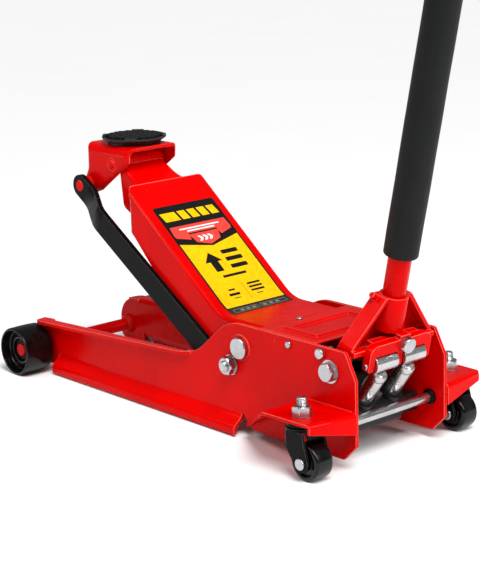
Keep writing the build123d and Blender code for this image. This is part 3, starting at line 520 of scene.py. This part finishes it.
# ---------------------------------------------------------------- small hard pieces
def tube_along(path, radii, sides, across):
    """Points and faces of a closed tube along a path, one radius a point."""
    points, faces = [], []
    last = len(path) - 1
    for k, (centre, radius) in enumerate(zip(path, radii)):
        ahead = (path[min(k + 1, last)] - path[max(k - 1, 0)]).normalized()
        first = ahead.cross(across).normalized()
        second = ahead.cross(first)
        for n in range(sides):
            turn = 2 * math.pi * n / sides
            points.append(centre + (first * math.cos(turn) + second * math.sin(turn)) * radius)
    for k in range(last):
        for n in range(sides):
            m = (n + 1) % sides
            faces.append((k * sides + n, k * sides + m, (k + 1) * sides + m, (k + 1) * sides + n))
    faces.append(tuple(reversed(range(sides))))
    faces.append(tuple(last * sides + n for n in range(sides)))
    return points, faces


def thread(name, foot, axis, length, radius, pitch, body):
    """The raised turns of a screw thread round a stud, thinned out at both ends."""
    around, fade, sides = 32, 16, 6  # steps in a turn, steps of each thinned end, sides of the ridge
    ridge, sunk = 0.42 * pitch, 0.1 * MM
    first, second, up = axes_along(axis)
    steps = int(length / pitch * around)
    path = []
    for k in range(steps + 1):
        turn = 2 * math.pi * k / around
        path.append(foot + up * (length * k / steps)
                    + (first * math.cos(turn) + second * math.sin(turn)) * (radius - sunk))
    radii = [ridge * min(1.0, 0.05 + k / fade, 0.05 + (steps - k) / fade) for k in range(steps + 1)]
    points, faces = tube_along(path, radii, sides, up)
    piece(name, points, faces, ZINC, body)


def stud_threads():
    """Threads above the nuts of the caster studs and beside the nuts of the frame studs."""
    caster_radius, caster_pitch = 6.8 * MM, 1.75 * MM
    nut_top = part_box("caster_nuts")[1].z
    stud_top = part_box("caster_studs")[1].z
    for side in SIDES:
        swivel = Vector(JOINTS[side + "_caster_swivel"]["pos_m"])
        foot = Vector((swivel.x, swivel.y, nut_top + 0.4 * MM))
        thread(side + "_caster_stud_thread", foot, Vector((0, 0, 1)), stud_top - foot.z - 3.0 * MM,
               caster_radius, caster_pitch, "frame")
    frame_radius, frame_pitch = 8.0 * MM, 2.0 * MM
    low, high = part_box("frame_studs")
    nut_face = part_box("frame_stud_nuts")[1].y
    for side, sign in SIDES.items():
        foot = Vector(((low.x + high.x) / 2, sign * (nut_face + 0.3 * MM), (low.z + high.z) / 2))
        thread(side + "_frame_stud_thread", foot, Vector((0, sign, 0)), high.y - nut_face - 2.2 * MM,
               frame_radius, frame_pitch, "frame")


def weld(name, corners, radius, body, seed):
    """A weld bead with overlapping ripples along straight runs between corners, tapered at both ends."""
    step, ripple_steps, sides = 0.6 * MM, 4.0, 10
    dice = random.Random(seed)
    path, radii = [], []
    for start, end in zip(corners, corners[1:]):
        steps = max(2, int((end - start).length / step))
        for k in range(steps):
            path.append(start.lerp(end, k / steps))
            ripple = abs(math.sin(math.pi * len(path) / ripple_steps))
            radii.append(radius * (0.82 + 0.16 * ripple + dice.uniform(-0.03, 0.03)))
    path.append(corners[-1])
    radii[:3] = [radius * 0.3, radius * 0.6, radius * 0.8]
    radii[-2:] = [radius * 0.75, radius * 0.55]
    radii.append(radius * 0.25)
    points, faces = tube_along(path, radii, sides, Vector((0.3, 0.2, 1.0)))
    piece(name, points, faces, RED, body)


def welds():
    """Beads where the top of each caster wing meets its side plate."""
    seeds = {"left": 11, "right": 12}
    bead, pin_head = 1.9 * MM, 7.5 * MM           # the pivot pin's head stands that far off the plate
    wing_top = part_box("left_caster_wing")[1].z
    plate_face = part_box("main_pivot_pin")[1].y - pin_head
    route = ((6, 0.2), (93, 0.2), (186, 49.5))    # forward of the rear edge and below the wing's top, mm
    for side, sign in SIDES.items():
        run = [Vector((REAR + x * MM, sign * plate_face, wing_top - drop * MM)) for x, drop in route]
        weld(side + "_wing_weld", run, bead, "frame", seeds[side])


# ---------------------------------------------------------------- label on the arm
class ArmTop:
    """The middle line of the arm's top, as distance down from the label's upper edge."""

    def __init__(self, start_x, end_x):
        count, beside, above = 260, 0.003, 1.0    # rays, and where they start beside and above the middle
        arm = NODES["arm_shell"].data
        tree = BVHTree.FromPolygons([v.co for v in arm.vertices], [p.vertices for p in arm.polygons])
        self.line, self.normals, self.runs = [], [], [0.0]
        for k in range(count + 1):
            x = start_x + (end_x - start_x) * k / count
            place = tree.ray_cast(Vector((x, beside, above)), Vector((0, 0, -1)))[0]
            self.line.append(Vector((place.x, 0, place.z)))
        for k in range(count + 1):
            ahead = (self.line[min(k + 2, count)] - self.line[max(k - 2, 0)]).normalized()
            upright = Vector((-ahead.z, 0, ahead.x))
            self.normals.append(-upright if upright.z < 0 else upright)
            if k:
                self.runs.append(self.runs[-1] + (self.line[k] - self.line[k - 1]).length)

    def at(self, down, across, lift):
        """The point this far down the label, across to the left, and above the paint."""
        k = 0
        while k < len(self.runs) - 2 and self.runs[k + 1] < down:
            k += 1
        share = (down - self.runs[k]) / (self.runs[k + 1] - self.runs[k])
        spot = self.line[k].lerp(self.line[k + 1], share)
        normal = self.normals[k].lerp(self.normals[k + 1], share).normalized()
        return Vector((spot.x, across, spot.z)) + normal * lift


def block(s0, s1, y0, y1, r=0.0):
    """Corners of a rectangle down and across the label, in mm, with rounded corners."""
    if not r:
        return [(s0, y0), (s1, y0), (s1, y1), (s0, y1)]
    steps = 4
    corners = []
    centres = ((s0 + r, y0 + r, 180), (s1 - r, y0 + r, 270), (s1 - r, y1 - r, 0), (s0 + r, y1 - r, 90))
    for cs, cy, start in centres:
        for k in range(steps + 1):
            turn = math.radians(start + 90 * k / steps)
            corners.append((cs + r * math.cos(turn), cy + r * math.sin(turn)))
    return corners


BEND_FROM, BEND_TO, STRIP = 150.0, 240.0, 1.5    # where the arm bends under the label, and a strip, mm
SUNK, LIFT, LAYER = 0.10, 0.10, 0.07    # film below the paint, above it, and more for each layer, mm


def film(name, top, polygons, ink, layer):
    """A thin closed layer of label film, cut into strips so that it follows the arm's bend."""
    flat = bmesh.new()
    for corners in polygons:
        flat.faces.new([flat.verts.new((s * MM, y * MM, 0)) for s, y in corners])
    bmesh.ops.remove_doubles(flat, verts=flat.verts, dist=0.02 * MM)
    bmesh.ops.triangulate(flat, faces=flat.faces)
    cut = BEND_FROM
    while cut < BEND_TO:
        bmesh.ops.bisect_plane(flat, geom=flat.verts[:] + flat.edges[:] + flat.faces[:], dist=1e-7,
                               plane_co=(cut * MM, 0, 0), plane_no=(1, 0, 0))
        cut += STRIP
    flat.verts.index_update()
    count = len(flat.verts)
    heights = ((LIFT + LAYER * layer) * MM, -SUNK * MM)
    points = [top.at(v.co.x, v.co.y, height) for height in heights for v in flat.verts]
    faces = []
    for face in flat.faces:
        ring = [v.index for v in face.verts]
        faces.append(ring)
        faces.append([k + count for k in reversed(ring)])
    for edge in flat.edges:
        if edge.is_boundary:
            loop = edge.link_loops[0]
            a, b = loop.vert.index, loop.link_loop_next.vert.index
            faces.append([b, a, a + count, b + count])
    flat.free()
    made = piece(name, points, faces, INKS[ink], "lift_arm", smooth=False)
    mesh = bmesh.new()
    mesh.from_mesh(made.data)
    bmesh.ops.recalc_face_normals(mesh, faces=mesh.faces)
    mesh.to_mesh(made.data)
    mesh.free()


def frame_ring(s0, s1, y0, y1, r, width):
    """The outline of a rounded rectangle as a ring of small faces."""
    outer = block(s0, s1, y0, y1, r)
    inner = block(s0 + width, s1 - width, y0 + width, y1 - width, max(r - width, 0.2))
    n = len(outer)
    return [[outer[k], outer[(k + 1) % n], inner[(k + 1) % n], inner[k]] for k in range(n)]


def label():
    """Label on the arm: dark header with plain bars, coral banner, yellow panel with pictograms.

    Each layer is given by its outlines, down from the label's upper edge and across to the left, mm.
    """
    length, half = 222.0, 58
    upper, lower = 449.8, 236        # the arm's top is followed between these, forward of the rear edge
    top = ArmTop(REAR + upper * MM, REAR + lower * MM)
    header_bars = [[(13, y + 17), (13, y + 3), (30, y), (30, y + 14)]
                   for y in (-52, -33.5, -15, 3.5, 22, 36)]
    banner = [(41, 52), (41, -52), (58, -54), (62.5, -52), (69.5, -29), (60, -26), (57, -27.5),
              (57, 27.5), (60, 26), (69.5, 29), (62.5, 52), (58, 54)]
    badge = [(59.5, 25), (59.5, -25), (62, -26.5), (76, -22.5), (84, 0), (76, 22.5), (62, 26.5)]
    chevrons = [[(65, y), (65, y - 5), (70, y - 9.5), (75, y - 5), (75, y), (70, y - 4.5)]
                for y in (16, 7, -2)]
    panel = [(74.5, 55), (87.5, 0), (74.5, -55), (203, -55), (203, 55)]
    arrow = [(99, 19), (117, 35), (117, 26), (136, 26), (136, 12), (117, 12), (117, 3)]
    load_bars = [block(s, s + 7.5, -35, -4, 1.5) for s in (99, 113.2, 127.5)]
    fine_lines = [block(163, 194, -0.3, 0.3), block(186.5, 188, 17, 29, 0.4),
                  block(186.5, 188, -26, -14, 0.4)]
    strip_rings = frame_ring(208, 217.5, 4, 50, 2, 0.9) + frame_ring(208, 217.5, -50, -1, 2, 0.9)
    strip_marks = [block(210.5, 215, y, y + 7, 1) for y in (9, 20, 31, -12, -24, -36)]
    layers = (
        ("label_base", [block(0, length, -half, half, 5)], "black", 0),
        ("label_header_bars", header_bars, "yellow", 1),
        ("label_banner", [banner], "coral", 1),
        ("label_badge", [badge], "coral", 1),
        ("label_banner_bars", [block(46.5, 49, -38, 38, 1), block(51.5, 54, -26, 26, 1)], "white", 2),
        ("label_badge_marks", chevrons, "white", 2),
        ("label_panel", [panel], "yellow", 1),
        ("label_lift_mark", [arrow], "black", 2),
        ("label_load_bars", load_bars, "black", 2),
        ("label_rule", [block(144, 148.5, -22, 22, 1)], "black", 2),
        ("label_low_mark", [block(178, 182.5, 14, 34, 1), block(170, 173, 18, 30, 1)], "black", 2),
        ("label_high_marks", [block(s, s + 3.4, -33, -8, 1) for s in (165.5, 172, 178.5)], "black", 2),
        ("label_fine_lines", fine_lines, "grey", 2),
        ("label_strip", [block(205, length - 1.5, -56.5, 56.5, 3)], "grey", 1),
        ("label_strip_outlines", strip_rings, "olive", 2),
        ("label_strip_marks", strip_marks, "olive", 2),
    )
    for name, outlines, ink, layer in layers:
        film(name, top, outlines, ink, layer)


foam_sleeve()
handle_grip()
saddle_pad()
stud_threads()
welds()
label()


# ---------------------------------------------------------------- stage
def stage():
    """Plain pale floor, wide enough to fill the camera's view, just below the wheels."""
    half, gap = 60.0, 0.0002
    corners = [(-half, -half, 0), (half, -half, 0), (half, half, 0), (-half, half, 0)]
    mesh = bpy.data.meshes.new("floor")
    mesh.from_pydata(corners, [], [(0, 1, 2, 3)])
    mesh.materials.append(pale_floor())
    floor = bpy.data.objects.new("floor", mesh)
    floor.location.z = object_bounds()[0].z - gap
    bpy.context.scene.collection.objects.link(floor)
    floor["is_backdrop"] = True


def soft_light(name, place, aim, size, power):
    """A rectangular lamp at place that points at aim."""
    lamp = bpy.data.lights.new(name, "AREA")
    lamp.shape = "RECTANGLE"
    lamp.size, lamp.size_y = size
    lamp.energy = power
    made = bpy.data.objects.new(name, lamp)
    made.location = place
    made.rotation_mode = "QUATERNION"
    made.rotation_quaternion = (Vector(aim) - Vector(place)).to_track_quat("-Z", "Y")
    bpy.context.scene.collection.objects.link(made)


def sunlight(direction, strength, angle):
    """A very broad, even light from one side, so that the floor is lit alike everywhere."""
    lamp = bpy.data.lights.new("broad_key", "SUN")
    lamp.energy = strength
    lamp.angle = math.radians(angle)
    made = bpy.data.objects.new("broad_key", lamp)
    made.rotation_mode = "QUATERNION"
    made.rotation_quaternion = (-Vector(direction)).to_track_quat("-Z", "Y")
    bpy.context.scene.collection.objects.link(made)


def lights():
    """A broad key from behind on the left, two weak boxes and a pale world."""
    middle = (0.0, 0.0, 0.2)
    sunlight((-0.50, 0.22, 0.84), strength=3.0, angle=28)
    soft_light("left_strip", (0.2, 1.5, 1.7), middle, size=(1.6, 0.35), power=12)
    soft_light("rear_box", (-2.0, -0.5, 1.2), middle, size=(0.5, 0.9), power=20)
    world = bpy.data.worlds.new("studio")
    world.use_nodes = True
    background = world.node_tree.nodes["Background"]
    background.inputs["Color"].default_value = (1, 1, 1, 1)
    background.inputs["Strength"].default_value = 0.24
    bpy.context.scene.world = world


def camera():
    """Stands behind the jack on its left, a little above it."""
    azimuth, elevation, roll = (math.radians(angle) for angle in (227.924, 14.119, -1.40))
    distance, lens, shift = 2.4713, 109.8, (-0.0594, -0.0037)
    target = Vector((REAR + 0.250, 0.0, 0.200))
    back = Vector((math.sin(azimuth) * math.cos(elevation), -math.cos(azimuth) * math.cos(elevation),
                   math.sin(elevation)))
    right = Vector((math.cos(azimuth), math.sin(azimuth), 0.0))
    up = back.cross(right)
    rolled_right = right * math.cos(roll) + up * math.sin(roll)
    rolled_up = up * math.cos(roll) - right * math.sin(roll)
    data = bpy.data.cameras.new("camera")
    data.sensor_width = 36.0
    data.lens = lens
    data.shift_x, data.shift_y = shift
    data.clip_start, data.clip_end = 0.05, 60.0
    made = bpy.data.objects.new("camera", data)
    turn = Matrix((rolled_right, rolled_up, back)).transposed().to_4x4()
    made.matrix_world = Matrix.Translation(target + back * distance) @ turn
    bpy.context.scene.collection.objects.link(made)
    bpy.context.scene.camera = made


stage()
lights()
camera()
bpy.context.scene.view_settings.view_transform = "Standard"
